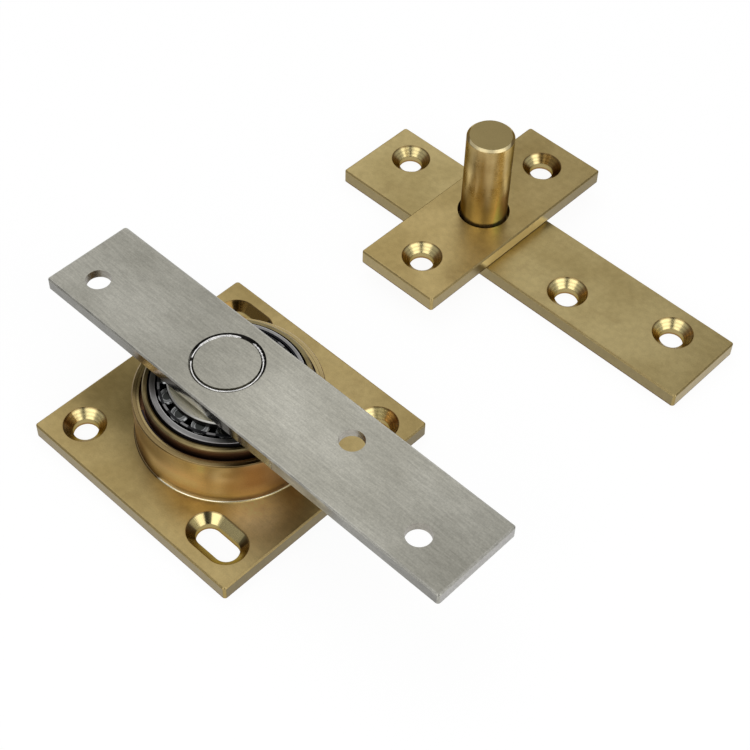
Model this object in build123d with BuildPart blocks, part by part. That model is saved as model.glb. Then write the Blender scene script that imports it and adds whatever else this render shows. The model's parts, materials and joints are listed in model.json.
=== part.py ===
import math
import os

from build123d import *

os.makedirs("parts", exist_ok=True)

# Shared stock and screw sizes, in mm
bar_width = 38.0
plate_thickness = 6.0
corner_radius = 1.2
edge_break = 0.5
screw_hole_diameter = 9.5
countersink_diameter = 16.2
hole_stagger = 6.2

# Floor plate
base_side = 102.0
base_hole_offset = 38.0
slot_travel = 9.0

# Brass cup on the floor plate
cup_wall = 1.8
cup_spigot_step = 3.0
cup_floor_height = 8.0
cup_rim_height = 26.0
cup_rim_break = 0.4

# Spring ring in the cup wall
snap_ring_drop = 2.5
snap_ring_thickness = 1.6
snap_ring_groove_depth = 1.0
snap_ring_clearance = 0.4
snap_ring_gap_start = 180.0
snap_ring_gap_end = 241.0

# Brass holder that carries the bearing
holder_wall = 1.8
holder_flange_step = 2.2
holder_stand = 4.0
holder_floor_clearance = 0.6

# Taper roller bearing, big ends up
bearing_outer_diameter = 58.4
outer_ring_stand = 0.9
outer_ring_height = 11.8
outer_lip_width = 3.0
outer_corner_width = 1.05
outer_corner_depth = 2.4
outer_race_angle = 15.3
inner_ring_stand = 2.9
inner_wall = 1.735
big_rib_step = 3.2
small_rib_step = 0.9
small_rib_length = 3.1
roller_count = 15
roller_big_diameter = 7.4
roller_length = 11.1
roller_end_chamfer = 0.5
roller_dimple_radius = 2.2
roller_dimple_depth = 0.35
roller_top_below_ring = 0.6
first_roller_angle = -117.0
race_clearance = 0.05
cage_inner_offset = 2.0
cage_thickness = 0.8
cage_big_rim_length = 0.6
cage_small_rim_length = 1.6
cage_pocket_clearance = 0.15

# Shaft and door arm
shaft_collar_step = 5.0
shaft_collar_height = 2.2
shaft_end_diameter = 24.0
shaft_tail = 1.4
shaft_chamfer = 1.0
arm_thickness = 5.0
arm_short_end = 76.5
arm_long_end = 118.5
arm_hole_positions = (-62.5, 55.5, 98.0)
arm_sink_depth = 1.4
weld_width = 1.8
weld_depth = 1.8
weld_sink = 0.45

# Head pivot
head_pivot_x = -4.8
head_pivot_y = 145.3
pin_diameter = 19.2
pin_height = 52.6
pin_chamfer = 1.0
pin_clearance = 1.1
top_arm_short_end = 61.0
top_arm_long_end = 113.5
top_arm_hole_positions = (-46.0, 50.4, 93.3)
head_plate_length = 104.0
head_plate_hole_offset = 37.0

# Screw holes
screw_radius = screw_hole_diameter / 2
sink_radius = countersink_diameter / 2
sink_depth = sink_radius - screw_radius

# Radii from the bearing outward: holder, spring ring, cup, floor plate
bearing_radius = bearing_outer_diameter / 2
race_top_radius = bearing_radius - outer_lip_width
holder_neck_radius = bearing_radius + holder_wall
cup_bore_radius = holder_neck_radius + holder_flange_step
cup_radius = cup_bore_radius + cup_wall
cup_spigot_radius = cup_radius - cup_spigot_step
snap_ring_inner_radius = holder_neck_radius + snap_ring_clearance
groove_radius = cup_bore_radius + snap_ring_groove_depth

# Heights from the cup rim upward: holder, outer ring, inner ring, arm
snap_ring_height = cup_rim_height - snap_ring_drop
holder_top_height = cup_rim_height + holder_stand
ring_top = holder_top_height + outer_ring_stand
bearing_seat_height = ring_top - outer_ring_height
cone_top = ring_top + inner_ring_stand
arm_underside_height = cone_top + shaft_collar_height
arm_top = arm_underside_height + arm_thickness
top_arm_top = plate_thickness
head_plate_top = 2 * plate_thickness
pin_radius = pin_diameter / 2
shaft_end_radius = shaft_end_diameter / 2
weld_radius = shaft_end_radius + weld_width

# Cone geometry: every race and every roller shares one point on the bearing axis
outer_angle = math.radians(outer_race_angle)
apex_height = ring_top - race_top_radius / math.tan(outer_angle)
apex_point = Vector(0, 0, apex_height)
roller_far = (ring_top - roller_top_below_ring - apex_height) / math.cos(outer_angle)
roller_near = roller_far - roller_length
roller_half_angle = math.atan(roller_big_diameter / 2 / roller_far)
roller_tilt = outer_angle - roller_half_angle
roller_slope = math.tan(roller_half_angle)


def cone_point(along, across):
    radius = along * math.sin(roller_tilt) + across * math.cos(roller_tilt)
    height = apex_height + along * math.cos(roller_tilt) - across * math.sin(roller_tilt)
    return radius, height


def outer_race_radius(height):
    return (height - apex_height) * math.tan(outer_angle) + race_clearance / math.cos(outer_angle)


def roller_axes(turn):
    outward = Vector(1, 0, 0).rotate(Axis.Z, turn)
    upward = Vector(0, 0, 1)
    along = outward * math.sin(roller_tilt) + upward * math.cos(roller_tilt)
    across = outward * math.cos(roller_tilt) - upward * math.sin(roller_tilt)
    return along, across


# Inner ring sizes that follow from the rollers
big_foot = cone_point(roller_far + race_clearance, -roller_far * roller_slope - race_clearance)
small_foot = cone_point(roller_near - race_clearance, -roller_near * roller_slope - race_clearance)
big_rib_radius = big_foot[0] + big_rib_step
small_rib_radius = small_foot[0] + small_rib_step
bore_radius = small_foot[0] - inner_wall
cone_bottom = small_foot[1] - small_rib_length
collar_radius = big_rib_radius - shaft_collar_step
holder_floor_radius = outer_race_radius(bearing_seat_height) + holder_floor_clearance

# Floor plate with two round countersunk holes and two countersunk slots
with BuildPart() as base_plate:
    with BuildSketch():
        RectangleRounded(base_side, base_side, corner_radius)
    extrude(amount=plate_thickness)
    chamfer(base_plate.faces().sort_by(Axis.Z)[-1].edges(), edge_break)
    with Locations((-base_hole_offset, -base_hole_offset, plate_thickness),
                   (base_hole_offset, base_hole_offset, plate_thickness)):
        CounterSinkHole(screw_radius, sink_radius, counter_sink_angle=90)
    slot_centre = base_hole_offset - slot_travel / 2
    slot_places = ((slot_centre, -base_hole_offset), (-slot_centre, base_hole_offset))
    with BuildSketch():
        with Locations(*slot_places):
            SlotCenterToCenter(slot_travel, screw_hole_diameter)
    extrude(amount=plate_thickness, mode=Mode.SUBTRACT)
    for slot_place in slot_places:
        with BuildSketch(Plane.XY.offset(plate_thickness)):
            with Locations(slot_place):
                SlotCenterToCenter(slot_travel, countersink_diameter)
        with BuildSketch(Plane.XY.offset(plate_thickness - sink_depth)):
            with Locations(slot_place):
                SlotCenterToCenter(slot_travel, screw_hole_diameter)
        loft(ruled=True, mode=Mode.SUBTRACT)
    with BuildSketch():
        Circle(cup_spigot_radius)
    extrude(amount=plate_thickness, mode=Mode.SUBTRACT)
base_plate.part.label = "base_plate"
export_step(base_plate.part, "parts/base_plate.step")

# Turned brass cup, its spigot pressed into the floor plate
with BuildPart() as bearing_cup:
    with BuildSketch():
        Circle(cup_spigot_radius)
    extrude(amount=plate_thickness)
    with BuildSketch(Plane.XY.offset(plate_thickness)):
        Circle(cup_radius)
    extrude(amount=cup_rim_height - plate_thickness)
    with BuildSketch(Plane.XY.offset(cup_floor_height)):
        Circle(cup_bore_radius)
    extrude(amount=cup_rim_height - cup_floor_height, mode=Mode.SUBTRACT)
    with BuildSketch(Plane.XY.offset(snap_ring_height)):
        Circle(groove_radius)
    extrude(amount=snap_ring_thickness, mode=Mode.SUBTRACT)
    rim_edges = bearing_cup.faces().sort_by(Axis.Z)[-1].edges().sort_by(SortBy.RADIUS)
    chamfer(rim_edges[-1], cup_rim_break)
    chamfer(rim_edges[0], cup_rim_break / 2)
bearing_cup.part.label = "bearing_cup"
export_step(bearing_cup.part, "parts/bearing_cup.step")

# Brass holder: a flange held down by the spring ring and a neck round the bearing
with BuildPart() as bearing_holder:
    with BuildSketch(Plane.XY.offset(cup_floor_height)):
        Circle(cup_bore_radius)
    extrude(amount=snap_ring_height - cup_floor_height)
    with BuildSketch(Plane.XY.offset(snap_ring_height)):
        Circle(holder_neck_radius)
    extrude(amount=holder_top_height - snap_ring_height)
    with BuildSketch(Plane.XY.offset(bearing_seat_height)):
        Circle(bearing_radius)
    extrude(amount=holder_top_height - bearing_seat_height, mode=Mode.SUBTRACT)
    with BuildSketch(Plane.XY.offset(cup_floor_height)):
        Circle(holder_floor_radius)
    extrude(amount=bearing_seat_height - cup_floor_height, mode=Mode.SUBTRACT)
    chamfer(bearing_holder.faces().sort_by(Axis.Z)[-1].edges().sort_by(SortBy.RADIUS)[-1], edge_break)
bearing_holder.part.label = "bearing_holder"
export_step(bearing_holder.part, "parts/bearing_holder.step")

# Spring ring with its gap on the left of the cup
with BuildPart() as snap_ring:
    gap_middle = math.radians((snap_ring_gap_start + snap_ring_gap_end) / 2)
    gap_half = math.radians((snap_ring_gap_end - snap_ring_gap_start) / 2)
    gap_reach = 2 * groove_radius
    gap_corner_a = (gap_reach * math.cos(gap_middle - gap_half), gap_reach * math.sin(gap_middle - gap_half))
    gap_corner_b = (gap_reach * math.cos(gap_middle + gap_half), gap_reach * math.sin(gap_middle + gap_half))
    with BuildSketch(Plane.XY.offset(snap_ring_height)):
        Circle(groove_radius)
        Circle(snap_ring_inner_radius, mode=Mode.SUBTRACT)
        with BuildLine():
            Polyline((0, 0), gap_corner_a, gap_corner_b, close=True)
        make_face(mode=Mode.SUBTRACT)
    extrude(amount=snap_ring_thickness)
snap_ring.part.label = "snap_ring"
export_step(snap_ring.part, "parts/snap_ring.step")

# Outer ring of the bearing, its race opening upward
with BuildPart() as bearing_outer_ring:
    with BuildSketch(Plane.XZ):
        with BuildLine():
            Polyline(
                (outer_race_radius(bearing_seat_height), bearing_seat_height),
                (bearing_radius, bearing_seat_height),
                (bearing_radius, ring_top - outer_corner_depth),
                (bearing_radius - outer_corner_width, ring_top),
                (outer_race_radius(ring_top), ring_top),
                close=True,
            )
        make_face()
    revolve(axis=Axis.Z)
bearing_outer_ring.part.label = "bearing_outer_ring"
export_step(bearing_outer_ring.part, "parts/bearing_outer_ring.step")

# Inner ring with a big rib at the top and a small one below
with BuildPart() as bearing_inner_ring:
    with BuildSketch(Plane.XZ):
        with BuildLine():
            Polyline(
                (bore_radius, cone_bottom),
                (small_rib_radius, cone_bottom),
                (small_rib_radius, small_foot[1] - small_rib_step * math.tan(roller_tilt)),
                small_foot,
                big_foot,
                (big_rib_radius, big_foot[1] - big_rib_step * math.tan(roller_tilt)),
                (big_rib_radius, cone_top - edge_break),
                (big_rib_radius - edge_break, cone_top),
                (bore_radius, cone_top),
                close=True,
            )
        make_face()
    revolve(axis=Axis.Z)
bearing_inner_ring.part.label = "bearing_inner_ring"
export_step(bearing_inner_ring.part, "parts/bearing_inner_ring.step")

# Taper rollers, each on its own tilted axis
roller_pitch = 360 / roller_count
roller_turns = [first_roller_angle + roller_pitch * number for number in range(roller_count)]
for number, turn in enumerate(roller_turns, start=1):
    along_axis, across_axis = roller_axes(turn)
    with BuildPart() as roller:
        with BuildSketch(Plane(origin=apex_point, x_dir=across_axis, z_dir=across_axis.cross(along_axis))):
            with BuildLine():
                Polyline(
                    (0, roller_near),
                    (roller_near * roller_slope - roller_end_chamfer, roller_near),
                    (roller_near * roller_slope, roller_near + roller_end_chamfer),
                    ((roller_far - roller_end_chamfer) * roller_slope, roller_far - roller_end_chamfer),
                    (roller_far * roller_slope - roller_end_chamfer, roller_far),
                    (roller_dimple_radius, roller_far),
                    (roller_dimple_radius, roller_far - roller_dimple_depth),
                    (0, roller_far - roller_dimple_depth),
                    close=True,
                )
            make_face()
        revolve(axis=Axis(apex_point, along_axis))
    roller.part.label = f"roller_{number:02d}"
    export_step(roller.part, f"parts/roller_{number:02d}.step")

# Cage: a conical shell with one tapered window for each roller
cage_outer_offset = cage_inner_offset + cage_thickness
window_near = roller_near - cage_pocket_clearance
window_far = roller_far + cage_pocket_clearance
cage_near = window_near - cage_small_rim_length
cage_far = window_far + cage_big_rim_length
window_near_half = window_near * roller_slope + cage_pocket_clearance
window_far_half = window_far * roller_slope + cage_pocket_clearance
with BuildPart() as bearing_cage:
    with BuildSketch(Plane.XZ):
        with BuildLine():
            Polyline(
                cone_point(cage_near, cage_inner_offset),
                cone_point(cage_near, cage_outer_offset),
                cone_point(cage_far, cage_outer_offset),
                cone_point(cage_far, cage_inner_offset),
                close=True,
            )
        make_face()
    revolve(axis=Axis.Z)
    for turn in roller_turns:
        along_axis, across_axis = roller_axes(turn)
        with BuildSketch(Plane(origin=apex_point, x_dir=along_axis.cross(across_axis), z_dir=across_axis)):
            with BuildLine():
                Polyline(
                    (-window_near_half, window_near),
                    (window_near_half, window_near),
                    (window_far_half, window_far),
                    (-window_far_half, window_far),
                    close=True,
                )
            make_face()
        extrude(amount=2 * cage_outer_offset, mode=Mode.SUBTRACT)
bearing_cage.part.label = "bearing_cage"
export_step(bearing_cage.part, "parts/bearing_cage.step")

# Turned shaft: journal in the inner ring, collar under the arm, end through the arm
with BuildPart() as pivot_shaft:
    with BuildSketch(Plane.XY.offset(cone_bottom - shaft_tail)):
        Circle(bore_radius)
    extrude(amount=cone_top - cone_bottom + shaft_tail)
    chamfer(pivot_shaft.faces().sort_by(Axis.Z)[0].edges(), shaft_chamfer)
    with BuildSketch(Plane.XY.offset(cone_top)):
        Circle(collar_radius)
    extrude(amount=shaft_collar_height)
    with BuildSketch(Plane.XY.offset(arm_underside_height)):
        Circle(shaft_end_radius)
    extrude(amount=arm_thickness)
pivot_shaft.part.label = "pivot_shaft"
export_step(pivot_shaft.part, "parts/pivot_shaft.step")

# Door arm with three holes countersunk from below and a groove for the weld round the shaft end
with BuildPart() as door_arm:
    arm_length = arm_short_end + arm_long_end
    arm_middle = (arm_long_end - arm_short_end) / 2
    with BuildSketch(Plane.XY.offset(arm_underside_height)):
        with Locations((arm_middle, 0)):
            RectangleRounded(arm_length, bar_width, corner_radius)
    extrude(amount=arm_thickness)
    chamfer(door_arm.faces().sort_by(Axis.Z)[-1].edges(), edge_break)
    with Locations((arm_hole_positions[0], -hole_stagger, arm_top),
                   (arm_hole_positions[1], hole_stagger, arm_top),
                   (arm_hole_positions[2], -hole_stagger, arm_top)):
        Hole(screw_radius)
    chamfer(door_arm.faces().sort_by(Axis.Z)[0].edges().filter_by(GeomType.CIRCLE).sort_by(SortBy.RADIUS)[-3:],
            arm_sink_depth)
    with Locations((0, 0, arm_top)):
        Hole(shaft_end_radius)
    with BuildSketch(Plane.XY.offset(arm_top - weld_depth)):
        Circle(shaft_end_radius)
    with BuildSketch(Plane.XY.offset(arm_top)):
        Circle(weld_radius)
    loft(ruled=True, mode=Mode.SUBTRACT)
door_arm.part.label = "door_arm"
export_step(door_arm.part, "parts/door_arm.step")

# Weld in the groove, its surface a little below the arm
with BuildPart() as weld_bead:
    weld_edge = weld_width * (weld_depth - weld_sink) / weld_depth
    with BuildSketch(Plane.XZ):
        with BuildLine():
            Polyline(
                (shaft_end_radius, arm_top - weld_depth),
                (shaft_end_radius + weld_edge, arm_top - weld_sink),
                (shaft_end_radius + weld_edge / 2, arm_top - weld_sink / 3),
                (shaft_end_radius, arm_top - weld_sink),
                close=True,
            )
        make_face()
    revolve(axis=Axis.Z)
weld_bead.part.label = "weld_bead"
export_step(weld_bead.part, "parts/weld_bead.step")

# Brass door arm of the head pivot, with three countersunk holes
with BuildPart() as top_arm:
    top_arm_length = top_arm_short_end + top_arm_long_end
    top_arm_middle = (top_arm_long_end - top_arm_short_end) / 2
    with BuildSketch():
        with Locations((head_pivot_x + top_arm_middle, head_pivot_y)):
            RectangleRounded(top_arm_length, bar_width, corner_radius)
    extrude(amount=plate_thickness)
    chamfer(top_arm.faces().sort_by(Axis.Z)[-1].edges(), edge_break)
    with Locations((head_pivot_x + top_arm_hole_positions[0], head_pivot_y + hole_stagger, top_arm_top),
                   (head_pivot_x + top_arm_hole_positions[1], head_pivot_y - hole_stagger, top_arm_top),
                   (head_pivot_x + top_arm_hole_positions[2], head_pivot_y + hole_stagger, top_arm_top)):
        CounterSinkHole(screw_radius, sink_radius, counter_sink_angle=90)
    with Locations((head_pivot_x, head_pivot_y, top_arm_top)):
        Hole(pin_radius)
top_arm.part.label = "top_arm"
export_step(top_arm.part, "parts/top_arm.step")

# Turned pin pressed into the head pivot's door arm
with BuildPart() as top_pin:
    with BuildSketch():
        with Locations((head_pivot_x, head_pivot_y)):
            Circle(pin_radius)
    extrude(amount=pin_height)
    chamfer(top_pin.faces().sort_by(Axis.Z)[-1].edges(), pin_chamfer)
top_pin.part.label = "top_pin"
export_step(top_pin.part, "parts/top_pin.step")

# Head plate that drops over the pin and turns on it
with BuildPart() as head_plate:
    with BuildSketch(Plane.XY.offset(top_arm_top)):
        with Locations((head_pivot_x, head_pivot_y)):
            RectangleRounded(bar_width, head_plate_length, corner_radius)
    extrude(amount=plate_thickness)
    chamfer(head_plate.faces().sort_by(Axis.Z)[-1].edges(), edge_break)
    with Locations((head_pivot_x, head_pivot_y - head_plate_hole_offset, head_plate_top),
                   (head_pivot_x, head_pivot_y + head_plate_hole_offset, head_plate_top)):
        CounterSinkHole(screw_radius, sink_radius, counter_sink_angle=90)
    with Locations((head_pivot_x, head_pivot_y, head_plate_top)):
        Hole(pin_radius + pin_clearance)
head_plate.part.label = "head_plate"
export_step(head_plate.part, "parts/head_plate.step")
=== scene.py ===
import json
import math

import bpy
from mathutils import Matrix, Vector


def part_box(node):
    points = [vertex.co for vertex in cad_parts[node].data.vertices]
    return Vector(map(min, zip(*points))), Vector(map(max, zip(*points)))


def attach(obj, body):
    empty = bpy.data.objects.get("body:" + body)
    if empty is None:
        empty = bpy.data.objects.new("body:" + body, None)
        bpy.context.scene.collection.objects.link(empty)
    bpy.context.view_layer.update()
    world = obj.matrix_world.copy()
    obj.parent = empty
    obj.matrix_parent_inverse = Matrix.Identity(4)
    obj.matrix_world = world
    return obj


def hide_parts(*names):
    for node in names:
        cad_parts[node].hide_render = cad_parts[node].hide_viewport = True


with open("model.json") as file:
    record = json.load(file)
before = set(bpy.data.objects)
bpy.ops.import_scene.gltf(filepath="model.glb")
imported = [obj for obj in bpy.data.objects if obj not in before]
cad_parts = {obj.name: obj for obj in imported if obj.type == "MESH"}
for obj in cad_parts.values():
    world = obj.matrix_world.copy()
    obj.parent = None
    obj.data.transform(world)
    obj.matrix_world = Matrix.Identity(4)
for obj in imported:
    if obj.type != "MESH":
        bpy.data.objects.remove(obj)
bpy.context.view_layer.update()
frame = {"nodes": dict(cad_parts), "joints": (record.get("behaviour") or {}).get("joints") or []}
nodes = frame["nodes"]
print("frame loaded,", len(nodes), "nodes")

perMetre = 1000.0  # finishes are drawn in millimetres
noiseLow, noiseHigh = 0.30, 0.70  # most of a noise pattern lies between these
bumpStrength = 0.5
outlineEdge = (-0.08, -0.03)  # where a plate's side begins, in mm from its outline
cornerEdge = (-0.2, 0.2)
screwHole = {"boreRadius": 4.75, "sinkRadius": 8.1, "stagger": 6.2}
stagger = screwHole["stagger"]


def middleOf(node):  # centre and half size of a node, in millimetres
    low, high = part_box(node)
    centre = [(a + b) / 2 * perMetre for a, b in zip(low, high)]
    half = [(b - a) / 2 * perMetre for a, b in zip(low, high)]
    return centre, half


# Small helpers for the node trees
def startFinish(name, centre=(0, 0, 0)):
    finish = bpy.data.materials.new(name)
    finish.use_nodes = True
    tree = finish.node_tree
    tree.nodes.clear()
    out = tree.nodes.new("ShaderNodeOutputMaterial")
    shader = tree.nodes.new("ShaderNodeBsdfPrincipled")
    tree.links.new(shader.outputs["BSDF"], out.inputs["Surface"])
    coords = tree.nodes.new("ShaderNodeTexCoord")
    place = tree.nodes.new("ShaderNodeMapping")
    place.inputs["Scale"].default_value = (perMetre, perMetre, perMetre)
    place.inputs["Location"].default_value = [-c for c in centre]
    tree.links.new(coords.outputs["Object"], place.inputs["Vector"])
    return finish, tree, shader, place.outputs["Vector"]


def feed(tree, value, socket):
    if isinstance(value, bpy.types.NodeSocket):
        tree.links.new(value, socket)
    else:
        socket.default_value = value


def calc(tree, operation, a, b=0.0):
    node = tree.nodes.new("ShaderNodeMath")
    node.operation = operation
    feed(tree, a, node.inputs[0])
    feed(tree, b, node.inputs[1])
    return node.outputs[0]


def times(tree, first, *others):
    for other in others:
        first = calc(tree, "MULTIPLY", first, other)
    return first


def plus(tree, first, *others):
    for other in others:
        first = calc(tree, "ADD", first, other)
    return first


def minus(tree, a, b):
    return calc(tree, "SUBTRACT", a, b)


def spread(tree, value, low, high, toLow=0.0, toHigh=1.0):  # smooth step between two limits
    node = tree.nodes.new("ShaderNodeMapRange")
    node.interpolation_type = "SMOOTHSTEP"
    feed(tree, value, node.inputs["Value"])
    for name, number in (("From Min", low), ("From Max", high), ("To Min", toLow), ("To Max", toHigh)):
        node.inputs[name].default_value = number
    return node.outputs["Result"]


def vary(tree, noise, toLow=0.0, toHigh=1.0):  # a noise drawn out to a range of values
    return spread(tree, noise, noiseLow, noiseHigh, toLow, toHigh)


def within(tree, value, low, high, soft=0.06):  # one inside a range, falling off softly
    rising = spread(tree, value, low - soft, low + soft)
    falling = spread(tree, value, high + soft, high - soft)
    return times(tree, rising, falling)


def blendValue(tree, factor, a, b):
    node = tree.nodes.new("ShaderNodeMix")
    feed(tree, factor, node.inputs[0])
    feed(tree, a, node.inputs[2])
    feed(tree, b, node.inputs[3])
    return node.outputs[0]


def tint(tree, factor, colourA, colourB, mode="MIX"):
    node = tree.nodes.new("ShaderNodeMix")
    node.data_type = "RGBA"
    node.blend_type = mode
    node.clamp_result = mode == "MULTIPLY"  # painted light and stains may brighten, but not past white
    feed(tree, factor, node.inputs[0])
    for colour, socket in ((colourA, node.inputs[6]), (colourB, node.inputs[7])):
        feed(tree, (*colour, 1) if isinstance(colour, tuple) else colour, socket)
    return node.outputs[2]


def grain(tree, place, size, detail, stretch=(1, 1, 1), turn=0.0):  # noise with patches of a size in mm
    shape = tree.nodes.new("ShaderNodeMapping")
    shape.inputs["Rotation"].default_value = (0, 0, turn)
    shape.inputs["Scale"].default_value = [1 / (size * s) for s in stretch]
    tree.links.new(place, shape.inputs["Vector"])
    node = tree.nodes.new("ShaderNodeTexNoise")
    node.inputs["Scale"].default_value = 1.0
    node.inputs["Detail"].default_value = detail
    tree.links.new(shape.outputs["Vector"], node.inputs["Vector"])
    return node.outputs["Fac"]


def axes(tree, place):
    node = tree.nodes.new("ShaderNodeSeparateXYZ")
    tree.links.new(place, node.inputs[0])
    return node.outputs[0], node.outputs[1], node.outputs[2]


def offsetFrom(tree, x, y, centre, travel=0.0):  # offset from a hole's axis, or from a slot's middle line
    dx = minus(tree, x, centre[0])
    if travel:
        along = calc(tree, "MINIMUM", calc(tree, "MAXIMUM", dx, -travel / 2), travel / 2)
        dx = minus(tree, dx, along)
    return dx, minus(tree, y, centre[1])


def lengthOf(tree, dx, dy):
    return calc(tree, "SQRT", plus(tree, times(tree, dx, dx), times(tree, dy, dy)))


def reach(tree, x, y, centre=(0, 0)):  # distance from an upright axis
    return lengthOf(tree, *offsetFrom(tree, x, y, centre))


def across(tree, x, y, degrees):  # position along a level direction
    turn = math.radians(degrees)
    return plus(tree, times(tree, x, math.cos(turn)), times(tree, y, math.sin(turn)))


def angleOf(tree, x, y):  # in degrees
    return calc(tree, "DEGREES", calc(tree, "ARCTAN2", y, x))


def outlineOf(tree, x, y, half):  # distance past a plate's sides, negative inside, and one on the x sides
    overX = minus(tree, calc(tree, "ABSOLUTE", x), half[0])
    overY = minus(tree, calc(tree, "ABSOLUTE", y), half[1])
    outside = calc(tree, "MAXIMUM", overX, overY)
    return outside, spread(tree, minus(tree, overX, overY), *cornerEdge)


def finishMetal(tree, shader, base, rough):
    tree.links.new(base, shader.inputs["Base Color"])
    tree.links.new(rough, shader.inputs["Roughness"])
    shader.inputs["Metallic"].default_value = 1.0


def relief(tree, shader, height, depth):  # bump, its depth in mm
    node = tree.nodes.new("ShaderNodeBump")
    node.inputs["Strength"].default_value = bumpStrength
    node.inputs["Distance"].default_value = depth / perMetre
    tree.links.new(height, node.inputs["Height"])
    tree.links.new(node.outputs["Normal"], shader.inputs["Normal"])


def dress(finish, name):
    slots = nodes[name].data.materials
    slots.clear()
    slots.append(finish)


# Satin brass of the flat plates
plateBrass = {
    "clouds": (38.0, 4.0),  # noises: patch size in mm, detail, stretch
    "stains": (14.0, 5.0),
    "mottle": (2.4, 4.0),
    "speckle": (0.5, 2.0),
    "streaks": (0.35, 2.0, (60, 1, 1)),
    "scratches": (0.12, 1.0, (150, 1, 1)),
    "scratchTurn": 0.12,
    "dark": (0.345, 0.257, 0.104),
    "light": (0.500, 0.386, 0.172),
    "brown": (0.235, 0.155, 0.060),
    "edge": (0.430, 0.325, 0.140),
    # painted shade: the sides darker than the top
    "side": (0.300, 0.235, 0.110),
    # painted shade along the foot of the sides
    "paintedFootShade": (0.130, 0.060, 0.020),
    # painted reflection of the strip below on the head plate's side
    "facing": (1.000, 0.830, 0.400),
    "grazing": (0.420, 0.340, 0.190),
    "plain": (1.0, 1.0, 1.0),
    "cloudTone": (0.32, 0.68),
    "stainTone": (0.56, 0.78, 0.0, 0.35),
    "lineTone": (0.975, 1.025),
    "dotTone": (0.95, 1.05),
    "lineRough": (0.355, 0.385),
    "cloudRough": (-0.03, 0.04),
    "lightSpotRough": 0.50,
    "facingRough": 0.75,
    "wornLine": (-1.1, -0.4),  # from the outline inward, in mm
    "wornPatches": (0.30, 0.62, 0.35, 1.0),
    "belowTop": (0.55, 0.75),
    "footLine": (0.55, 0.25),
    "middle": (-1.0, 1.0),
    "facingEdge": (1.2, -1.4),
    "facingSlope": 0.8,
    "lineShare": 0.25,  # shares of the relief
    "dotShare": 0.5,
    "ringShare": 0.10,
    "depth": 0.012,
}

# Bright turned countersinks over short drilled bores, with painted light on the far wall and painted shade
# elsewhere
countersink = {
    # painted light on the far wall, painted shade on the rest, a tint for the near wall
    "bright": (0.780, 0.650, 0.310),
    "shade": (0.330, 0.200, 0.075),
    "nearWall": (0.480, 0.380, 0.190),
    "bore": (0.440, 0.350, 0.160),
    # painted shade over a countersink
    "paintedShade": (0.400, 0.300, 0.190),
    "rough": (0.22, 0.28),
    "boreRough": 0.42,
    "backward": 136.0,  # direction of the far wall that gets painted light, in degrees
    "farSide": (0.25, 0.62),
    "nearSide": (-0.10, -0.60),
    "blur": 0.10,
    "boreEdge": (0.25, 0.05),
    # painted shade along a bore's lower edge
    "darkBoreFoot": (1.1, 0.7),
    "rim": (0.40, 0.10),
    "rimStrength": 0.85,
    "ringTurns": 6.3,  # radians per mm
    "ringContrast": 0.13,
    "ringLevel": 0.95,
    "facetLight": (  # painted light and shade on a slot's milled facets: from and to in degrees, brightness
        (128, 150, 0.22), (99, 128, 1.05), (80, 99, 0.78),
        (52, 80, 0.30), (20, 52, 0.75), (-160, -112, 0.45),
    ),
    "facetBlur": 3.0,
    "axisRadius": 0.1,
    "farAway": 1000.0,
}


def insideSink(tree, distance):  # one inside a countersink's edge
    radius, blur = screwHole["sinkRadius"], countersink["blur"]
    return spread(tree, distance, radius + blur, radius - blur)


def plateSides(tree, base, x, y, z, half, stains, paintedSideLight):  # sawn sides in painted shade, lighter or darker by which way they face, a painted dark line along their foot, and a worn line along the chamfer
    outside, sideways = outlineOf(tree, x, y, half)
    patches = spread(tree, stains, *plateBrass["wornPatches"])
    wear = times(tree, spread(tree, outside, *plateBrass["wornLine"]), patches)
    base = tint(tree, wear, base, plateBrass["edge"])
    low = spread(tree, minus(tree, half[2], z), *plateBrass["belowTop"])
    side = times(tree, spread(tree, outside, *outlineEdge), low)
    # painted light and shade: the x and y sides get their own levels
    level = blendValue(tree, sideways, paintedSideLight[1], paintedSideLight[0])
    base = tint(tree, side, base, tint(tree, 1.0, plateBrass["side"], level, "MULTIPLY"))
    # painted shade: a dark line along the foot of the sides
    footShade = times(tree, side, spread(tree, plus(tree, half[2], z), *plateBrass["footLine"]))
    base = tint(tree, footShade, base, plateBrass["paintedFootShade"])
    return base, side, sideways, footShade


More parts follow.
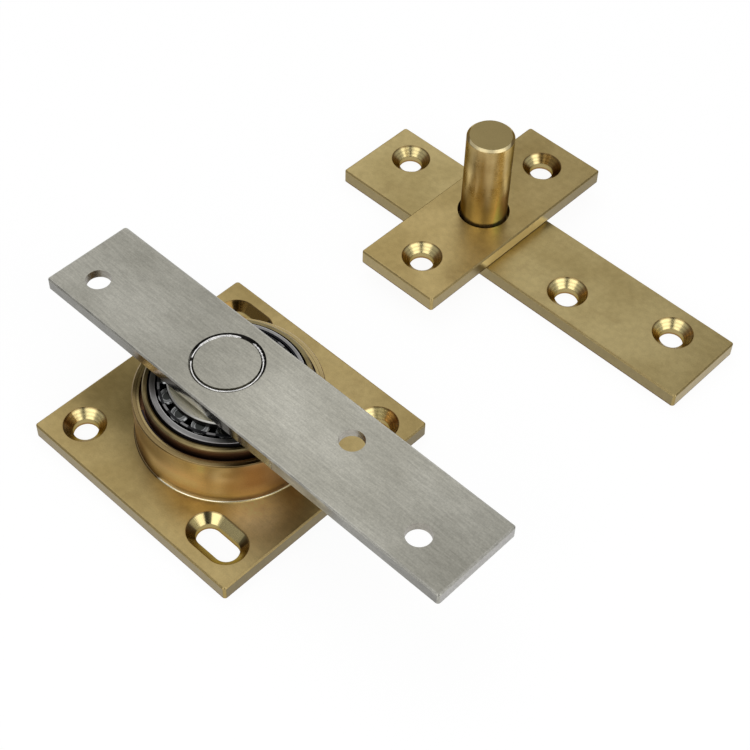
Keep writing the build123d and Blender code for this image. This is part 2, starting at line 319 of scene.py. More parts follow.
def plateHoles(tree, base, x, y, z, centre, half, holes, shaded):
    nearest, farWall, drilled, paintedFacetLight = countersink["farAway"], 0.0, 0.0, 1.0
    for holeX, holeY, travel in holes:
        dx, dy = offsetFrom(tree, x, y, (holeX - centre[0], holeY - centre[1]), travel)
        there = lengthOf(tree, dx, dy)
        nearest = calc(tree, "MINIMUM", nearest, there)
        inside = insideSink(tree, there)
        offAxis = calc(tree, "MAXIMUM", there, countersink["axisRadius"])
        back = calc(tree, "DIVIDE", across(tree, dx, dy, countersink["backward"]), offAxis)
        farWall = plus(tree, farWall, times(tree, inside, back))
        if not travel:
            drilled = plus(tree, drilled, inside)
            continue
        # painted light and shade facet by facet round the slot's ends
        around = angleOf(tree, dx, dy)
        for start, stop, level in countersink["facetLight"]:
            facet = times(tree, inside, within(tree, around, start, stop, countersink["facetBlur"]))
            paintedFacetLight = blendValue(tree, facet, paintedFacetLight, level)
    sink = insideSink(tree, nearest)
    rings = times(tree, drilled, calc(tree, "SINE", times(tree, nearest, countersink["ringTurns"])))
    ringTone = plus(tree, times(tree, rings, countersink["ringContrast"]), countersink["ringLevel"])
    # painted light: the wall toward backward is lighter, the near wall tinted, the rest in painted shade
    paintedFarLight = spread(tree, farWall, *countersink["farSide"])
    paintedNearWall = spread(tree, farWall, *countersink["nearSide"])
    paintedSinkLight = tint(tree, paintedFarLight, countersink["shade"], countersink["bright"])
    paintedSinkLight = tint(tree, paintedNearWall, paintedSinkLight, countersink["nearWall"])
    paintedSinkLight = tint(tree, 1.0, paintedSinkLight, times(tree, ringTone, paintedFacetLight), "MULTIPLY")
    base = tint(tree, sink, base, paintedSinkLight)
    # painted shade over a whole countersink, or one half of it
    if shaded:
        shadedX, shadedY, travel, *directions = shaded
        dx, dy = offsetFrom(tree, x, y, (shadedX - centre[0], shadedY - centre[1]), travel)
        paintedShade = insideSink(tree, lengthOf(tree, dx, dy))
        for toward in directions:  # only the half that lies in one direction
            paintedShade = times(tree, paintedShade, spread(tree, across(tree, dx, dy, toward), *plateBrass["middle"]))
        base = tint(tree, paintedShade, base, countersink["paintedShade"], "MULTIPLY")
    rimRadius = screwHole["sinkRadius"] - countersink["blur"]
    rim = spread(tree, calc(tree, "ABSOLUTE", minus(tree, nearest, rimRadius)), *countersink["rim"])
    base = tint(tree, times(tree, rim, countersink["rimStrength"]), base, plateBrass["brown"])
    bore = spread(tree, nearest, *[screwHole["boreRadius"] + edge for edge in countersink["boreEdge"]])
    base = tint(tree, bore, base, countersink["bore"])
    # painted shade along the bore's lower edge
    darkBoreFoot = times(tree, bore, spread(tree, plus(tree, half[2], z), *countersink["darkBoreFoot"]))
    base = tint(tree, darkBoreFoot, base, countersink["shade"])
    return base, sink, bore, rings


def brassPlate(node, holes, paintedLightFade, paintedSideLight, turn=0.0, facing=0.0, shaded=(), tone=(1.0, 1.0, 1.0), paintedLightSpots=()):
    centre, half = middleOf(node)
    finish, tree, shader, place = startFinish(node + "Brass", centre)
    x, y, z = axes(tree, place)
    clouds = grain(tree, place, *plateBrass["clouds"])
    stains = grain(tree, place, *plateBrass["stains"])
    mottle = grain(tree, place, *plateBrass["mottle"])
    speckle = grain(tree, place, *plateBrass["speckle"])
    streaks = grain(tree, place, *plateBrass["streaks"], turn)
    scratch = grain(tree, place, *plateBrass["scratches"], turn + plateBrass["scratchTurn"])
    cloudy = spread(tree, clouds, *plateBrass["cloudTone"])
    base = tint(tree, cloudy, plateBrass["dark"], plateBrass["light"])
    base = tint(tree, spread(tree, stains, *plateBrass["stainTone"]), base, plateBrass["brown"])
    base = tint(tree, 1.0, base, tone, "MULTIPLY")
    base, side, sideways, footShade = plateSides(tree, base, x, y, z, half, stains, paintedSideLight)
    lines = vary(tree, streaks, *plateBrass["lineTone"])
    dots = [vary(tree, noise, *plateBrass["dotTone"]) for noise in (speckle, mottle)]
    # painted light: lighter or darker along the plate
    paintedFading = spread(tree, (x, y)[paintedLightFade[0]], *paintedLightFade[1:])
    base = tint(tree, 1.0, base, times(tree, lines, *dots, paintedFading), "MULTIPLY")
    rough = vary(tree, streaks, *plateBrass["lineRough"])
    rough = plus(tree, rough, vary(tree, clouds, *plateBrass["cloudRough"]))
    for spotX, spotY, inner, outer, colour in paintedLightSpots:  # spots of painted light, also rougher
        away = reach(tree, x, y, (spotX - centre[0], spotY - centre[1]))
        lightSpot = times(tree, spread(tree, away, outer, inner), minus(tree, 1.0, side))
        base = tint(tree, lightSpot, base, colour, "MULTIPLY")
        rough = blendValue(tree, lightSpot, rough, plateBrass["lightSpotRough"])
    if facing:  # painted reflection: bright where the side looks onto the strip below
        slant = plus(tree, y, times(tree, plus(tree, z, half[2]), plateBrass["facingSlope"]))
        limits = [facing + edge for edge in plateBrass["facingEdge"]]
        stripReflection = spread(tree, calc(tree, "ABSOLUTE", slant), *limits)
        stripReflection = times(tree, stripReflection, sideways, spread(tree, x, *plateBrass["middle"]))
        stripReflection = times(tree, stripReflection, side, minus(tree, 1.0, footShade))
        base = tint(tree, stripReflection, base, plateBrass["facing"])
        rough = blendValue(tree, stripReflection, rough, plateBrass["facingRough"])
    base, sink, bore, rings = plateHoles(tree, base, x, y, z, centre, half, holes, shaded)
    rough = blendValue(tree, sink, rough, vary(tree, speckle, *countersink["rough"]))
    rough = blendValue(tree, bore, rough, countersink["boreRough"])
    finishMetal(tree, shader, base, rough)
    grazing = tint(tree, side, plateBrass["grazing"], plateBrass["plain"])
    tree.links.new(grazing, shader.inputs["Specular Tint"])
    marks = times(tree, plus(tree, streaks, scratch), plateBrass["lineShare"])
    marks = plus(tree, marks, times(tree, speckle, plateBrass["dotShare"]))
    flat = times(tree, marks, minus(tree, 1.0, sink))
    turned = times(tree, rings, plateBrass["ringShare"], sink)
    relief(tree, shader, plus(tree, flat, turned), plateBrass["depth"])
    dress(finish, node)


basePlate = {"holeOffset": 38.0, "slotTravel": 9.0}
offset, travel = basePlate["holeOffset"], basePlate["slotTravel"]
slotCentre = offset - travel / 2
nearSlot, farSlot = (slotCentre, -offset, travel), (-slotCentre, offset, travel)
# Painted light and shade: a fade along the plate, side levels, a shaded far slot and two lit spots
brassPlate(
    "base_plate",
    [(-offset, -offset, 0.0), (offset, offset, 0.0), nearSlot, farSlot],
    paintedLightFade=(1, -30, 50, 0.96, 0.88),
    paintedSideLight=(0.70, 0.90),
    shaded=farSlot,
    # painted light in two spots near the cup
    paintedLightSpots=[(32.5, -19.0, 3.0, 15.0, (1.90, 2.20, 2.70)), (39.0, -24.0, 4.0, 20.0, (1.25, 1.22, 1.30))],
)
headPivot = {"x": -4.8, "y": 145.3, "armHoles": (-46.0, 50.4, 93.3), "plateHoles": 37.0}
headX, headY, reachY = headPivot["x"], headPivot["y"], headPivot["plateHoles"]
armSides = (stagger, -stagger, stagger)
# Painted light and shade: a fade along the arm and side levels
brassPlate(
    "top_arm",
    [(headX + along, headY + aside, 0.0) for along, aside in zip(headPivot["armHoles"], armSides)],
    paintedLightFade=(0, -60, 90, 0.97, 0.89),
    paintedSideLight=(1.35, 0.95),
    tone=(1.02, 1.06, 1.12),
)
# Painted light and shade: a fade, side levels, a reflection on the side and one half of a countersink shaded
brassPlate(
    "head_plate",
    [(headX, headY - reachY, 0.0), (headX, headY + reachY, 0.0)],
    paintedLightFade=(1, -30, 40, 1.02, 0.76),
    paintedSideLight=(1.05, 1.10),
    turn=math.radians(90),
    facing=19.0,
    shaded=(headX, headY + reachY, 0.0, 52.0),
)
print("plates finished")


# Turned pieces, all in mm: a body tone, then zones of painted light and shade by radius and height, then
# painted light and shade to one side
turnedMetal = {
    "clouds": (4.0, (1, 1, 1.6)),  # noises: detail and stretch, the rest with their patch size first
    "hoops": (0.30, 2.0, (40, 40, 1)),
    "speckle": (0.45, 2.0),
    "dotTone": (0.95, 1.05),
    "cloudRough": (-0.02, 0.02),
    "bandBlur": 0.05,
    "ringTurns": 13.0,
    "ringShare": 0.12,
}


def turnedFinish(node, look):
    finish, tree, shader, place = startFinish(node + "Finish", (*look.get("axis", (0, 0)), 0))
    x, y, z = axes(tree, place)
    radius = reach(tree, x, y)
    clouds = grain(tree, place, look["patch"], *turnedMetal["clouds"])
    hoops = grain(tree, place, *turnedMetal["hoops"])
    speckle = grain(tree, place, *turnedMetal["speckle"])
    base = tint(tree, vary(tree, clouds), look["dark"], look["light"])
    rough = plus(tree, vary(tree, hoops, *look["rough"]), vary(tree, clouds, *turnedMetal["cloudRough"]))
    # painted light and shade by radius and height: dark insides and gaps, lit rims and highlight lines
    for colour, roughness, radii, heights, *soft in look["paintedZones"]:
        paintedZone = times(tree, within(tree, radius, *radii, *soft), within(tree, z, *heights, *soft))
        base = tint(tree, paintedZone, base, colour)
        rough = blendValue(tree, paintedZone, rough, roughness)
    for colour, level, radii, heights, *own in look.get("paintedBands", ()):  # painted light and shade to one side, some with their own direction
        toward = own[0] if own else look["facing"]
        wall = times(tree, within(tree, radius, *radii, turnedMetal["bandBlur"]), within(tree, z, *heights))
        paintedBand = times(tree, within(tree, across(tree, x, y, toward), *level), wall)
        base = tint(tree, paintedBand, base, colour, "MULTIPLY")
    if "tabs" in look:  # lighter where the bars show between the rollers
        tabs = look["tabs"]
        angle = minus(tree, calc(tree, "ARCTAN2", y, x), math.radians(tabs["first"]))
        wave = calc(tree, "COSINE", times(tree, angle, tabs["count"]))
        bare = times(tree, spread(tree, wave, *tabs["bars"]), spread(tree, z, *tabs["heights"]))
        base = tint(tree, bare, base, tabs["colour"])
    lines = vary(tree, hoops, 1 - look["lines"], 1 + look["lines"])
    shade = times(tree, lines, vary(tree, speckle, *turnedMetal["dotTone"]))
    base = tint(tree, 1.0, base, shade, "MULTIPLY")
    finishMetal(tree, shader, base, rough)
    shader.inputs["Specular Tint"].default_value = (*look.get("grazing", (1, 1, 1)), 1)
    rings = calc(tree, "SINE", times(tree, radius, turnedMetal["ringTurns"]))
    relief(tree, shader, plus(tree, times(tree, rings, turnedMetal["ringShare"]), hoops), look["relief"])
    dress(finish, node)


rollerJoints = {joint["child"]: joint for joint in frame["joints"] if joint["name"].startswith("roller_")}
cupWall, cupHeights = (34.7, 36.0), (6.0, 25.6, 0.4)
pinWall, pinHeights = (9.3, 10.0), (6.0, 51.5, 0.5)
pinChamfer, chamferHeights = (8.5, 9.8), (51.7, 53.0)
# Zones and bands below are painted light and shade
turnedLooks = {
    "bearing_cup": {
        "dark": (0.600, 0.425, 0.175), "light": (0.840, 0.630, 0.300), "patch": 26.0,
        "rough": (0.33, 0.38), "lines": 0.02, "relief": 0.002,
        "paintedZones": [
            ((0.120, 0.055, 0.030), 0.50, (0.0, 33.3), (6.5, 25.85)),
            ((0.330, 0.255, 0.120), 0.24, (0.0, 34.55), (25.9, 30.0)),
            ((0.340, 0.255, 0.122), 0.36, (34.6, 34.95), (25.6, 26.1)),
            ((0.960, 0.740, 0.360), 0.48, (20.0, 60.0), (9.5, 17.0), 3.0),
        ],
        "facing": 45.0,
        "paintedBands": [
            ((0.82, 0.70, 0.50), (-8.0, 4.0, 4.0), cupWall, (10.0, 20.0, 5.0)),
            ((1.10, 1.02, 1.00), (-24.0, -9.0, 5.0), cupWall, (6.0, 19.0, 4.0)),
            ((1.36, 1.42, 1.50), (-11.5, -6.5, 2.5), cupWall, (20.0, 40.0, 3.0)),
            ((0.78, 0.72, 0.58), (-2.5, 3.0, 2.5), cupWall, (19.5, 23.0, 1.5)),
            ((0.82, 0.72, 0.62), (6.0, 14.0, 3.0), cupWall, (13.0, 24.0, 2.0)),
            ((0.60, 0.50, 0.36), (-60.0, -29.0, 3.0), cupWall, (6.0, 14.5, 2.0)),
            ((0.66, 0.60, 0.44), (-26.0, 6.0, 4.0), cupWall, (21.5, 40.0, 4.0)),
            ((0.50, 0.42, 0.34), (-60.0, -29.0, 3.0), cupWall, cupHeights),
            ((0.80, 0.76, 0.74), (-2.0, 60.0, 4.0), cupWall, (9.5, 17.0, 3.0)),
            ((0.46, 0.43, 0.43), (-20.0, 60.0, 3.0), cupWall, (5.0, 8.2, 1.0)),
            ((0.72, 0.58, 0.54), (2.0, 60.0, 6.0), cupWall, cupHeights),
            ((0.64, 0.60, 0.56), (-60.0, 6.0, 6.0), (33.0, 35.2), (25.55, 27.0), 135.0),
        ],
    },
    "bearing_holder": {
        "dark": (0.190, 0.146, 0.066), "light": (0.300, 0.236, 0.112), "patch": 7.0,
        "rough": (0.32, 0.42), "lines": 0.08, "relief": 0.008,
        "paintedZones": [
            ((0.170, 0.085, 0.044), 0.40, (0.0, 40.0), (0.0, 29.2), 0.5),
            ((0.300, 0.190, 0.090), 0.40, (30.9, 40.0), (28.6, 29.4), 0.3),
        ],
        "facing": 135.0,
        "paintedBands": [
            ((0.22, 0.19, 0.15), (-60.0, -4.0, 5.0), (29.0, 29.65), (29.7, 31.0)),
            ((0.74, 0.76, 0.78), (8.0, 60.0, 6.0), (29.0, 31.5), (29.0, 31.0)),
            ((0.58, 0.58, 0.60), (-29.5, -26.0, 1.5), (29.0, 31.5), (29.0, 31.0), 45.0),
        ],
    },
    "top_pin": {
        "axis": (headX, headY), "dark": (0.480, 0.345, 0.140), "light": (0.700, 0.540, 0.255), "patch": 7.0,
        "rough": (0.27, 0.35), "lines": 0.03, "relief": 0.004, "grazing": (0.40, 0.32, 0.18),
        "paintedZones": [
            ((0.830, 0.650, 0.310), 0.32, (-20.0, 40.0), (-20.0, 20.0), 10.0),
            ((0.300, 0.235, 0.105), 0.44, (0.0, 8.65), (52.4, 53.4)),
            ((0.900, 0.760, 0.430), 0.40, (8.6, 9.5), (51.7, 52.7)),
        ],
        "facing": 37.3,
        "paintedBands": [
            ((0.66, 0.60, 0.52), (-3.0, 2.4, 2.4), pinWall, (20.0, 51.5, 7.0)),
            ((1.52, 1.50, 1.46), (4.0, 7.4, 1.6), pinWall, pinHeights),
            ((0.62, 0.62, 0.66), (6.4, 8.8, 0.8), pinWall, (38.0, 51.5, 5.0)),
            ((1.35, 1.14, 1.06), (5.0, 9.0, 1.0), pinWall, (6.0, 26.0, 4.0)),
            ((0.54, 0.53, 0.53), (-8.6, -5.0, 1.0), pinWall, (40.0, 51.5, 4.0)),
            ((1.40, 1.40, 1.45), (-6.6, -3.4, 1.4), pinWall, (24.0, 36.0, 4.0)),
            ((0.45, 0.40, 0.36), (-12.0, -7.2, 0.8), pinWall, (6.0, 24.0, 4.0)),
            ((0.80, 0.78, 0.72), (8.6, 12.0, 0.5), pinWall, pinHeights),
            ((0.30, 0.25, 0.20), (-12.0, -8.0, 0.4), pinChamfer, chamferHeights),
            ((0.30, 0.25, 0.20), (8.0, 12.0, 0.4), pinChamfer, chamferHeights),
        ],
    },
    "snap_ring": {
        "dark": (0.022, 0.017, 0.020), "light": (0.065, 0.050, 0.056), "patch": 8.0,
        "rough": (0.34, 0.46), "lines": 0.10, "relief": 0.010,
        "paintedZones": [],
    },
    "bearing_outer_ring": {
        "dark": (0.185, 0.182, 0.178), "light": (0.285, 0.280, 0.272), "patch": 9.0,
        "rough": (0.34, 0.44), "lines": 0.10, "relief": 0.010,
        "paintedZones": [
            ((0.014, 0.012, 0.012), 0.55, (0.0, 40.0), (0.0, 30.7)),
            ((0.420, 0.415, 0.410), 0.32, (26.0, 26.45), (30.7, 31.5)),
            ((0.360, 0.350, 0.345), 0.32, (27.90, 28.4), (30.7, 31.5)),
        ],
        "facing": 135.0,
        "paintedBands": [
            ((0.04, 0.04, 0.05), (6.0, 60.0, 5.0), (24.0, 26.95), (30.0, 31.5)),
            ((0.50, 0.50, 0.50), (-26.2, -19.0, 1.5), (27.75, 28.6), (30.0, 31.5), 45.0),
        ],
    },
    "bearing_inner_ring": {
        "dark": (0.500, 0.485, 0.400), "light": (0.620, 0.600, 0.510), "patch": 8.0,
        "rough": (0.52, 0.60), "lines": 0.06, "relief": 0.008,
        "paintedZones": [
            ((0.050, 0.046, 0.044), 0.42, (0.0, 40.0), (0.0, 33.15)),
            ((0.400, 0.390, 0.360), 0.40, (21.50, 22.2), (33.2, 33.78)),
        ],
        "facing": 90.0,
        "paintedBands": [
            ((1.60, 1.58, 1.50), (-19.9, -15.0, 0.9), (10.0, 21.4), (33.5, 34.5)),
            ((1.60, 1.58, 1.50), (15.0, 19.9, 0.9), (10.0, 21.4), (33.5, 34.5)),
        ],
    },
    "bearing_cage": {
        "dark": (0.012, 0.012, 0.013), "light": (0.035, 0.035, 0.037), "patch": 4.0,
        "rough": (0.40, 0.50), "lines": 0.10, "relief": 0.015,
        "paintedZones": [],
        "tabs": {
            "count": len(rollerJoints), "first": -117.0, "bars": (-0.45, -0.70),
            "heights": (29.4, 30.2), "colour": (0.240, 0.236, 0.236),
        },
    },
}
for node, look in turnedLooks.items():
    turnedFinish(node, look)
print("turned pieces finished")


# Rollers: each finish follows its own roller's axis
rollerSteel = {
    "speckle": (0.4, 3.0),
    "hoops": (0.25, 2.0, (20, 20, 1)),
    "side": (0.080, 0.080, 0.084),
    "face": (0.120, 0.123, 0.122),
    "faceEdge": (5.0, 5.1),
    "rings": (  # on the end face, painted highlight rings and painted shade in the centre recess: radii in mm, colour
        ((2.95, 3.60), (0.270, 0.275, 0.272)),
        ((1.85, 2.20), (0.270, 0.275, 0.272)),
        ((-1.0, 1.75), (0.036, 0.038, 0.036)),
    ),
    "dotTone": (0.88, 1.12),
    "rough": (0.20, 0.30),
    "ringTurns": 15.0,
    "ringShare": 0.3,
    "depth": 0.010,
}
for node, joint in rollerJoints.items():
    finish, tree, shader, place = startFinish(node + "Steel")
    turn = place.node
    turn.vector_type = "TEXTURE"
    turn.inputs["Location"].default_value = joint["pos_m"]
    turn.inputs["Rotation"].default_value = Vector(joint["axis"]).to_track_quat("Z", "Y").to_euler()
    turn.inputs["Scale"].default_value = (1 / perMetre, 1 / perMetre, 1 / perMetre)
    x, y, z = axes(tree, place)
    radius = reach(tree, x, y)
    speckle = grain(tree, place, *rollerSteel["speckle"])
    hoops = grain(tree, place, *rollerSteel["hoops"])
    face = spread(tree, z, *rollerSteel["faceEdge"])
    base = tint(tree, face, rollerSteel["side"], rollerSteel["face"])
    # painted highlight rings and painted shade in the recess on the end face
    for radii, colour in rollerSteel["rings"]:
        base = tint(tree, times(tree, face, within(tree, radius, *radii)), base, colour)
    base = tint(tree, 1.0, base, vary(tree, speckle, *rollerSteel["dotTone"]), "MULTIPLY")
    finishMetal(tree, shader, base, vary(tree, speckle, *rollerSteel["rough"]))
    rings = calc(tree, "SINE", times(tree, radius, rollerSteel["ringTurns"]))
    height = plus(tree, hoops, times(tree, rings, rollerSteel["ringShare"]))
    relief(tree, shader, height, rollerSteel["depth"])
    dress(finish, node)
print("rollers finished,", len(rollerJoints))


# Satin stainless arm and the shaft end welded into it
armSteel = {
    "clouds": (30.0, 4.0, (1.6, 1, 1)),
    "mottle": (3.0, 5.0, (2.2, 1, 1)),
    "speckle": (0.6, 3.0),
    "streaks": (0.45, 2.0, (13, 1, 1)),
    "brush": (1.0, 3.0, (8, 1, 1)),
    "dark": (0.345, 0.335, 0.285),
    "light": (0.465, 0.454, 0.395),
    "edge": (0.500, 0.490, 0.440),
    # sides: painted shade and painted reflections, set by place along the arm
    "side": (0.282, 0.276, 0.252),
    "sideMiddle": (0.940, 0.900, 0.820),
    "sideLeft": (0.430, 0.345, 0.255),
    "sideRight": (0.840, 0.840, 0.860),
    "sidePlate": (0.420, 0.395, 0.310),
    "end": (0.478, 0.466, 0.442),
    "bore": (0.360, 0.340, 0.295),
    "groove": (0.012, 0.011, 0.010),
    "collar": (0.480, 0.460, 0.400),
    "mottleTone": (0.93, 1.07),
    "dotTone": (0.91, 1.09),
    "brushTone": (0.92, 1.08),
    "streakRough": (0.34, 0.43),
    "mottleRough": (-0.03, 0.05),
    "overBearingRough": 0.15,
    "litPlace": 45.0,
    "litFade": (15.0, 75.0, 1.10, 0.86),
    "wornLine": (-1.0, -0.4),
    "wornStrength": 0.7,
    "belowTop": (0.45, 0.70),
    "overBearing": (-27.0, 42.0, 3.0),  # along the arm, in mm
    "overPlate": (42.0, 69.0, 3.0),
    "middleFrom": (-15.0, -9.0),
    "rightFrom": (20.0, 32.0),
    "holes": (-62.5, 55.5, 98.0),
    "boreEdge": (0.10, 0.02),
    "grooveRadii": (12.05, 13.88),
    "grooveSlope": 0.45,
    "grooveFade": (-5.0, 2.0),
    "armLow": 36.0,
    "armHigh": 41.0,
    "collarBlur": 0.1,
    "mottleShare": 0.8,
    "depth": 0.014,
}


def armOutline(tree, base, rough, x, y, z):  # worn outline, and sides with painted reflections of what lies below them
    centre, half = middleOf("door_arm")
    outside, sideways = outlineOf(tree, minus(tree, x, centre[0]), y, half)
    wear = times(tree, spread(tree, outside, *armSteel["wornLine"]), armSteel["wornStrength"])
    base = tint(tree, wear, base, armSteel["edge"])
    overBearing = within(tree, x, *armSteel["overBearing"])
    overPlate = within(tree, x, *armSteel["overPlate"])
    middle = spread(tree, x, *armSteel["middleFrom"])
    # painted reflections on the sides: colours change along the arm, from the bearing to the plate
    paintedReflections = tint(tree, middle, armSteel["sideLeft"], armSteel["sideMiddle"])
    paintedReflections = tint(tree, spread(tree, x, *armSteel["rightFrom"]), paintedReflections, armSteel["sideRight"])
    paintedSideLight = tint(tree, overPlate, armSteel["side"], armSteel["sidePlate"])
    paintedSideLight = tint(tree, overBearing, paintedSideLight, paintedReflections)
    # painted light on the end faces
    paintedSideLight = tint(tree, sideways, paintedSideLight, armSteel["end"])
    low = spread(tree, minus(tree, armSteel["armHigh"], z), *armSteel["belowTop"])
    upright = times(tree, spread(tree, outside, *outlineEdge), low)
    base = tint(tree, upright, base, paintedSideLight)
    rough = blendValue(tree, times(tree, upright, overBearing), rough, armSteel["overBearingRough"])
    return base, rough


def armHoles(tree, base, x, y):  # bores, and painted shade in the weld groove on its far side
    boreLimits = [screwHole["boreRadius"] + edge for edge in armSteel["boreEdge"]]
    for hole in zip(armSteel["holes"], (-stagger, stagger, -stagger)):
        bore = spread(tree, reach(tree, x, y, hole), *boreLimits)
        base = tint(tree, bore, base, armSteel["bore"])
    # painted shade: the groove darker on its far side
    behind = minus(tree, y, times(tree, x, armSteel["grooveSlope"]))
    behind = spread(tree, behind, *armSteel["grooveFade"])
    groove = times(tree, within(tree, reach(tree, x, y), *armSteel["grooveRadii"]), behind)
    return tint(tree, groove, base, armSteel["groove"])


def steelFinish(node):
    finish, tree, shader, place = startFinish(node + "Steel")
    x, y, z = axes(tree, place)
    clouds = grain(tree, place, *armSteel["clouds"])
    mottle = grain(tree, place, *armSteel["mottle"])
    speckle = grain(tree, place, *armSteel["speckle"])
    streaks = grain(tree, place, *armSteel["streaks"])
    brush = grain(tree, place, *armSteel["brush"])
    base = tint(tree, vary(tree, clouds), armSteel["dark"], armSteel["light"])
    rough = vary(tree, streaks, *armSteel["streakRough"])
    rough = plus(tree, rough, vary(tree, mottle, *armSteel["mottleRough"]))
    if node == "door_arm":
        base, rough = armOutline(tree, base, rough, x, y, z)
        base = armHoles(tree, base, x, y)
    else:
        low, blur = armSteel["armLow"], armSteel["collarBlur"]
        base = tint(tree, spread(tree, z, low + blur, low - blur), base, armSteel["collar"])
    dots = [vary(tree, noise, *armSteel["dotTone"]) for noise in (speckle, streaks)]
    brushed = vary(tree, brush, *armSteel["brushTone"])
    # painted light: lighter near litPlace, darker along the arm away from it
    away = calc(tree, "ABSOLUTE", minus(tree, x, armSteel["litPlace"]))
    paintedFading = spread(tree, away, *armSteel["litFade"])
    shade = times(tree, vary(tree, mottle, *armSteel["mottleTone"]), *dots, brushed, paintedFading)
    base = tint(tree, 1.0, base, shade, "MULTIPLY")
    finishMetal(tree, shader, base, rough)
    height = plus(tree, streaks, times(tree, mottle, armSteel["mottleShare"]))
    relief(tree, shader, height, armSteel["depth"])
    dress(finish, node)


for node in ("door_arm", "pivot_shaft"):
    steelFinish(node)
print("arm finished")


# Helpers for the modelled pieces
def addRing(name, ring, place):  # flattened ring at its place
    bpy.ops.object.select_all(action="DESELECT")
    bpy.ops.mesh.primitive_torus_add(
        location=place,
        major_radius=ring["radius"],
        minor_radius=ring["thick"],
        major_segments=ring["rounds"],
        minor_segments=ring["facetLight"],
    )
    piece = bpy.context.object
    piece.name = name
    bpy.ops.object.transform_apply(location=True, rotation=True, scale=True)
    bpy.ops.object.mode_set(mode="EDIT")
    bpy.ops.mesh.select_all(action="SELECT")
    bpy.ops.transform.resize(value=(1, 1, ring["squash"]), center_override=(0, 0, place[2]))
    bpy.ops.object.mode_set(mode="OBJECT")
    return piece


def faceOutward():  # turns the active piece's normals outward
    bpy.ops.object.mode_set(mode="EDIT")
    bpy.ops.mesh.select_all(action="SELECT")
    bpy.ops.mesh.normals_make_consistent(inside=False)
    bpy.ops.object.mode_set(mode="OBJECT")


def pickAround(piece, start, stop):  # selects vertices by their angle round the z axis, in degrees
    for vertex in piece.data.vertices:
        angle = math.degrees(math.atan2(vertex.co.y, vertex.co.x)) % 360
        vertex.select = start <= angle <= stop
    for group in (piece.data.edges, piece.data.polygons):
        for item in group:
            item.select = all(piece.data.vertices[index].select for index in item.vertices)


# Weld: a thin uneven bead in the groove, with starved stretches and a run of drops
weld = {
    "radius": 0.01278, "thick": 0.00040, "rounds": 360, "facetLight": 12, "squash": 0.75,
    "lean": 0.00017, "sink": 0.00034,
    "swells": [  # from and to in degrees, growth
        (90, 113, -0.00020), (117, 186, 0.00018), (130, 168, 0.00014), (190, 196, -0.00012),
        (214, 221, -0.00022), (225, 360, -0.00009), (0, 40, -0.00009), (44, 89, -0.00012),
    ],
    "drops": [(83, 87.5), (75, 80.5), (68, 73), (61, 66), (54, 58), (47, 51)],
    "dropSize": 0.00032,
    "rough": 0.00006, "uniform": 0.3, "normal": 0.6, "seed": 5, "smooth": 0.5, "rounding": 2,
    "lump": (1.6, 3.0), "scale": (0.35, 2.0), "lumpTone": (0.30, 0.60), "scaleTone": (0.60, 0.70, 0.0, 0.75),
    "grey": (0.80, 0.79, 0.76), "bright": (0.98, 0.97, 0.95),
    "bare": (0.02, 0.018, 0.016), "burnt": (0.05, 0.042, 0.038),
    "starved": ((90, 114), (-146, -139)), "starvedBlur": 1.5,
    "lumpRough": (0.36, 0.22), "depth": 0.03,
}
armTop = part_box("door_arm")[1].z
weldBead = addRing("weldBead", weld, (weld["lean"], -weld["lean"], armTop - weld["sink"]))
for start, stop, swell in weld["swells"] + [(*drop, weld["dropSize"]) for drop in weld["drops"]]:
    pickAround(weldBead, start, stop)
    bpy.ops.object.mode_set(mode="EDIT")
    bpy.ops.transform.shrink_fatten(value=swell)
    bpy.ops.object.mode_set(mode="OBJECT")
bpy.ops.object.mode_set(mode="EDIT")
bpy.ops.mesh.select_all(action="SELECT")
bpy.ops.transform.vertex_random(
    offset=weld["rough"], uniform=weld["uniform"], normal=weld["normal"], seed=weld["seed"]
)
bpy.ops.mesh.vertices_smooth(factor=weld["smooth"], repeat=weld["rounding"])
bpy.ops.object.mode_set(mode="OBJECT")
faceOutward()
bpy.ops.object.shade_smooth()
finish, tree, shader, place = startFinish("weldSteel")
x, y, z = axes(tree, place)
lump = grain(tree, place, *weld["lump"])
scale = grain(tree, place, *weld["scale"])
base = tint(tree, spread(tree, lump, *weld["lumpTone"]), weld["grey"], weld["bright"])
for start, stop in weld["starved"]:
    starved = within(tree, angleOf(tree, x, y), start, stop, weld["starvedBlur"])
    base = tint(tree, starved, base, weld["bare"])
base = tint(tree, spread(tree, scale, *weld["scaleTone"]), base, weld["burnt"])
finishMetal(tree, shader, base, vary(tree, lump, *weld["lumpRough"]))
relief(tree, shader, scale, weld["depth"])
weldBead.data.materials.append(finish)
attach(weldBead, "door_arm")
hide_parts("weld_bead")
print("weld made")


# Bead rolled over where the cup meets the floor plate, with a near-white painted highlight on one side and
# painted shade on the rest
footBead = {
    "radius": 0.03518, "thick": 0.00058, "rounds": 240, "facetLight": 10, "squash": 0.8, "height": 0.00608,
    "clouds": (9.0, 3.0), "speckle": (0.4, 3.0),
    # near-white colours for a painted highlight, a dark one for painted shade
    "gold": (0.96, 0.84, 0.56), "pale": (1.00, 0.94, 0.72), "paintedShade": (0.16, 0.11, 0.05),
    "highlightToward": -48.0, "paintedShadeEdge": (27.2, 25.6), "rough": (0.20, 0.25), "depth": 0.0015,
}
cupFoot = addRing("cupFoot", footBead, (0, 0, footBead["height"]))
bpy.ops.object.shade_smooth()
finish, tree, shader, place = startFinish("footBrass")
x, y, z = axes(tree, place)
clouds = grain(tree, place, *footBead["clouds"])
speckle = grain(tree, place, *footBead["speckle"])
base = tint(tree, vary(tree, clouds), footBead["gold"], footBead["pale"])
